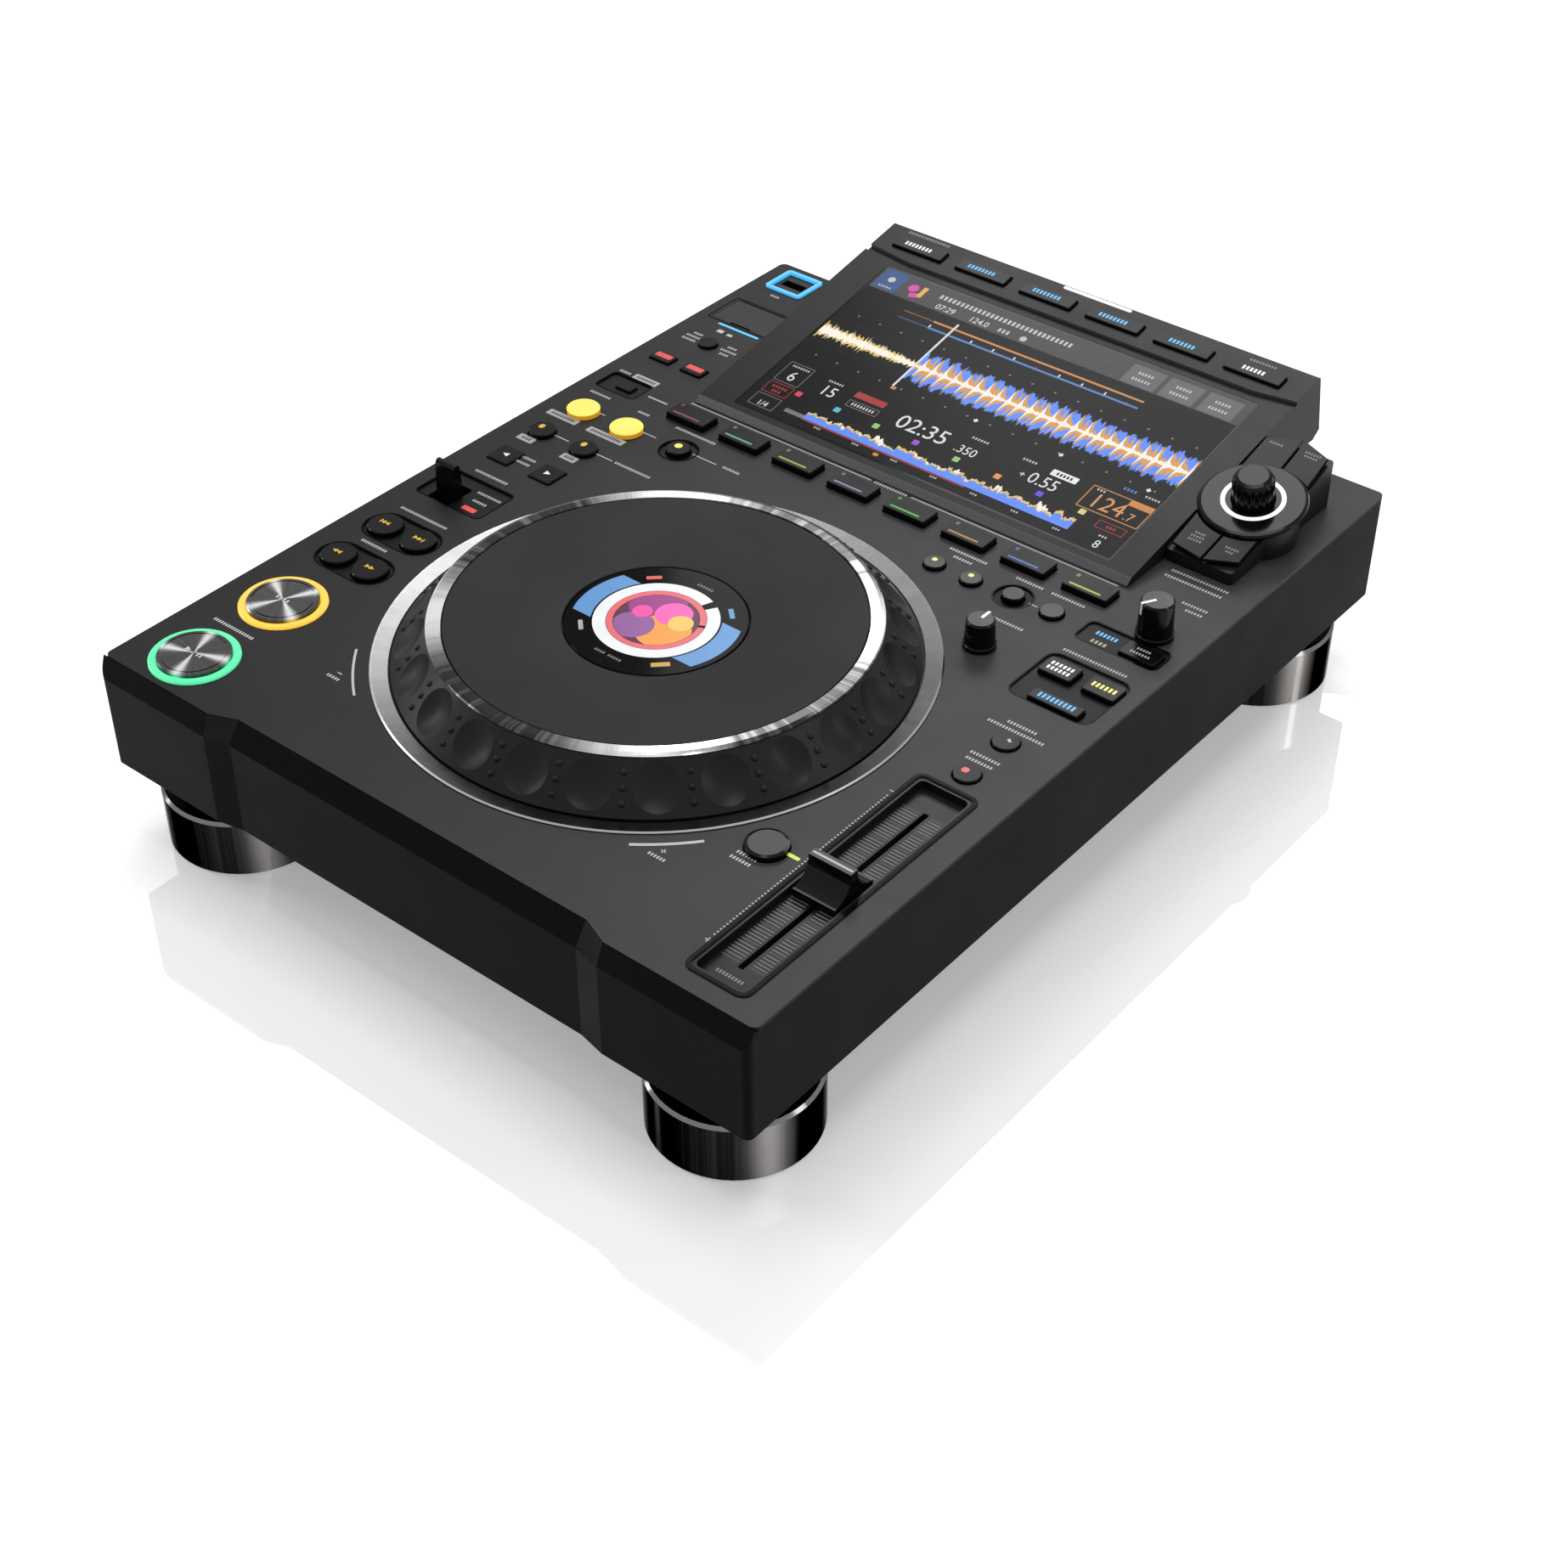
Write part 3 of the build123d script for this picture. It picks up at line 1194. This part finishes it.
def fader_track():
    """The fader's body under the deck: a trough with two round rails for the carriage."""
    top = PANEL_TOP - RECESS_SINK - DECK_SHEET
    low = top - TRACK_HEIGHT
    length = FADER_TRAVEL + 22.0
    wall = 1.4
    trough = block(FADER_SLOT_X, FADER_Y, TRACK_WIDTH, length, low, top)
    trough -= block(FADER_SLOT_X, FADER_Y, TRACK_WIDTH - 2 * wall, length - 8, low + wall, top + 1)
    rail_z = (low + top) / 2
    half = length / 2 - 2
    for side in (-1, 1):
        x = FADER_SLOT_X + side * RAIL_SPACING / 2
        trough += rod_y(RAIL_R, x, FADER_Y - half, FADER_Y + half, rail_z)
    return trough


def fader_cap():
    """A cap with two hollowed faces and a ridge across, on a blade and a carriage that runs on the rails."""
    foot = PANEL_TOP - RECESS_SINK + CAP_LIFT
    half = CAP_LENGTH / 2
    y = FADER_Y + CAP_REST
    top = foot + CAP_HEIGHT - CAP_LIFT
    ridge = 2.0
    lip = 3.4
    ends = Line((y - half, foot), (y + half, foot)) + Line((y + half, foot), (y + half, foot + lip))
    back = ThreePointArc((y + half, foot + lip), (y + half * 0.46, foot + lip + 2.2), (y + ridge, top))
    crown = Line((y + ridge, top), (y - ridge, top))
    front = ThreePointArc((y - ridge, top), (y - half * 0.46, foot + lip + 2.2), (y - half, foot + lip))
    close = Line((y - half, foot + lip), (y - half, foot))
    face = Plane.YZ * make_face(ends + back + crown + front + close)
    cap = Pos(FADER_SLOT_X - CAP_WIDTH / 2, 0, 0) * extrude(face, CAP_WIDTH)
    track_top = PANEL_TOP - RECESS_SINK - DECK_SHEET
    rail_z = track_top - TRACK_HEIGHT / 2
    cap += block(FADER_SLOT_X, y, FADER_SLOT - 0.8, FADER_STEM, rail_z, foot)
    carriage = block(FADER_SLOT_X, y, RAIL_SPACING + 5.2, FADER_STEM, rail_z - 3.2, rail_z + 3.2)
    for side in (-1, 1):
        x = FADER_SLOT_X + side * RAIL_SPACING / 2
        carriage -= rod_y(RAIL_R + RUNNING, x, y - 10, y + 10, rail_z)
    return cap + carriage


# ---- Rear ----
def rear_panel():
    plate = Box(REAR_PANEL.width - 2 * FIT, REAR_SHEET, REAR_PANEL.depth - 2 * FIT)
    sheet = Pos(0, BACK - REAR_SHEET / 2, REAR_ROW_Z) * plate
    openings = [rear_round(x, PHONO_COLLAR_R + FIT) for x in PHONO_X]
    openings.append(rear_round(JACK_X, JACK_R + FIT))
    openings.append(rear_round(POWER_BUTTON_X, POWER_BUTTON_R + KEY_GAP))
    openings.append(rear_box(INLET_X, INLET_WIDTH + 2 * FIT, INLET_HEIGHT + 2 * FIT, BACK - 5, BACK + 5))
    openings.append(rear_box(NETWORK_X, 16 + 2 * FIT, 13.6 + 2 * FIT, BACK - 5, BACK + 5))
    openings.append(rear_box(USB_B_X, 12 + 2 * FIT, 10.9 + 2 * FIT, BACK - 5, BACK + 5))
    openings.append(rear_box(LOCK_X, 7.0, 3.0, BACK - 5, BACK + 5))
    return sheet - openings


POWER_BUTTON_R = 5.0
POWER_TRAVEL = 2.0


def rear_round(x, radius, y_low=None, y_high=None):
    y_low = BACK - 5 if y_low is None else y_low
    y_high = BACK + 5 if y_high is None else y_high
    return rod_y(radius, x, y_low, y_high, REAR_ROW_Z)


def rear_box(x, width, height, y_low, y_high):
    return Pos(x, (y_low + y_high) / 2, REAR_ROW_Z) * Box(width, y_high - y_low, height)


def phono_socket(x):
    """A shell with a centre bore, on a wider collar and a block behind the panel."""
    inner = BACK - REAR_SHEET
    body = rear_box(x, 12, 14, inner - SOCKET_BACK, inner)
    body += rear_round(x, PHONO_COLLAR_R, inner - 1, BACK + PHONO_COLLAR_REACH)
    body += rear_round(x, PHONO_R, BACK, BACK + PHONO_REACH)
    return body - rear_round(x, PHONO_BORE_R, inner - 8, BACK + PHONO_REACH + 1)


def jack_socket():
    inner = BACK - REAR_SHEET
    body = rear_box(JACK_X, 11, 11, inner - SOCKET_BACK, inner)
    body += rear_round(JACK_X, JACK_R, inner - 1, BACK + JACK_REACH)
    return body - rear_round(JACK_X, JACK_BORE_R, inner - 11, BACK + JACK_REACH + 1)


def network_socket():
    inner = BACK - REAR_SHEET
    body = rear_box(NETWORK_X, 16, 13.6, inner - SOCKET_BACK, BACK + 0.4)
    cavity = rear_box(NETWORK_X, 11.8, 8.0, inner - 11, BACK + 2)
    latch = Pos(0, 0, 4.6) * rear_box(NETWORK_X, 5.0, 2.4, inner - 11, BACK + 2)
    return body - cavity - latch


def usb_b_socket():
    inner = BACK - REAR_SHEET
    body = rear_box(USB_B_X, 12, 10.9, inner - SOCKET_BACK, BACK + 0.4)
    body -= rear_box(USB_B_X, 8.6, 7.8, inner - 11, BACK + 2)
    return body + rear_box(USB_B_X, 5.6, 3.0, inner - 11, inner - 4.6)


def power_inlet():
    """A mains inlet: a shroud with a deep cavity and three blades."""
    inner = BACK - REAR_SHEET
    body = rear_box(INLET_X, INLET_WIDTH, INLET_HEIGHT, inner - INLET_DEPTH - 2, BACK + 0.6)
    body += rear_box(INLET_X, INLET_WIDTH + 8, INLET_HEIGHT + 6, inner - 3, inner)
    body -= rear_box(INLET_X, INLET_WIDTH - 3, INLET_HEIGHT - 3.4, inner - INLET_DEPTH, BACK + 2)
    for dx, dz in ((-7, -2), (0, 2), (7, -2)):
        body += Pos(dx, 0, dz) * rear_box(INLET_X, 2.0, 4.0, inner - INLET_DEPTH, inner - 5)
    return body


def rear_sockets():
    pieces = [phono_socket(x) for x in PHONO_X]
    return group(pieces + [jack_socket(), network_socket(), usb_b_socket(), power_inlet()])


def power_button():
    """A round push button with a flange behind the rear panel."""
    inner = BACK - REAR_SHEET
    cap = rear_round(POWER_BUTTON_X, POWER_BUTTON_R, inner - FIT - 1, BACK + 3.0)
    cap = chamfer(cap.faces().sort_by(Axis.Y)[-1].edges(), 0.5)
    return cap + rear_round(POWER_BUTTON_X, POWER_BUTTON_R + 2, inner - FIT - 2, inner - FIT)


# ---- All the nodes ----
def every_node():
    nodes = {
        "lower_case": lower_case(),
        "base_plate": base_plate(),
        "top_panel": top_panel(),
        "rear_panel": rear_panel(),
        "feet": feet(),
        "foot_pads": foot_pads(),
        "circuit_boards": circuit_boards(),
        "power_supply": power_supply(),
        "rear_sockets": rear_sockets(),
        "media_sockets": media_sockets(),
        "light_guides": light_guides(),
        "card_door": card_door(),
        "power_button": power_button(),
        "direction_lever": direction_lever(),
        "jog_adjust_knob": ribbed_knob(JOG_ADJUST, JOG_ADJUST_HEIGHT, 18),
        "speed_adjust_knob": ribbed_knob(SPEED_ADJUST, SPEED_ADJUST_HEIGHT, 20),
        "jog_trim_ring": jog_trim_ring(),
        "jog_hub": jog_hub(),
        "jog_display": jog_display(),
        "jog_wheel": jog_wheel(),
        "jog_chrome_ring": jog_chrome_ring(),
        "jog_plate": jog_plate(),
        "encoder_disc": encoder_disc(),
        "display_housing": display_housing(),
        "display_glass": display_glass(),
        "lcd_module": lcd_module(),
        "selector_housing": selector_housing(),
        "selector_collar": selector_collar(),
        "selector_knob": selector_knob(),
        "selector_shaft": selector_shaft(),
        "selector_keys_front": selector_keys(0),
        "selector_keys_back": selector_keys(2),
        "fader_deck": fader_deck(),
        "fader_track": fader_track(),
        "fader_cap": fader_cap(),
    }
    for name, key in KEYS.items():
        if key.cap in lit_key_caps():
            nodes[name] = disc_key(key)
        elif name == "tempo_reset_key":
            nodes[name] = domed_key(key)
        else:
            nodes[name] = push_key(key)
    for name, pair in PAIRS.items():
        nodes[name] = panel_rocker(pair)
    caps = menu_caps()
    for number, letter in enumerate("abc"):
        nodes["menu_keys_" + letter] = menu_rocker(caps[2 * number], caps[2 * number + 1])
    return nodes


def main():
    os.makedirs("parts", exist_ok=True)
    for name, shape in every_node().items():
        export_step(shape, f"parts/{name}.step")


if __name__ == "__main__":
    main()
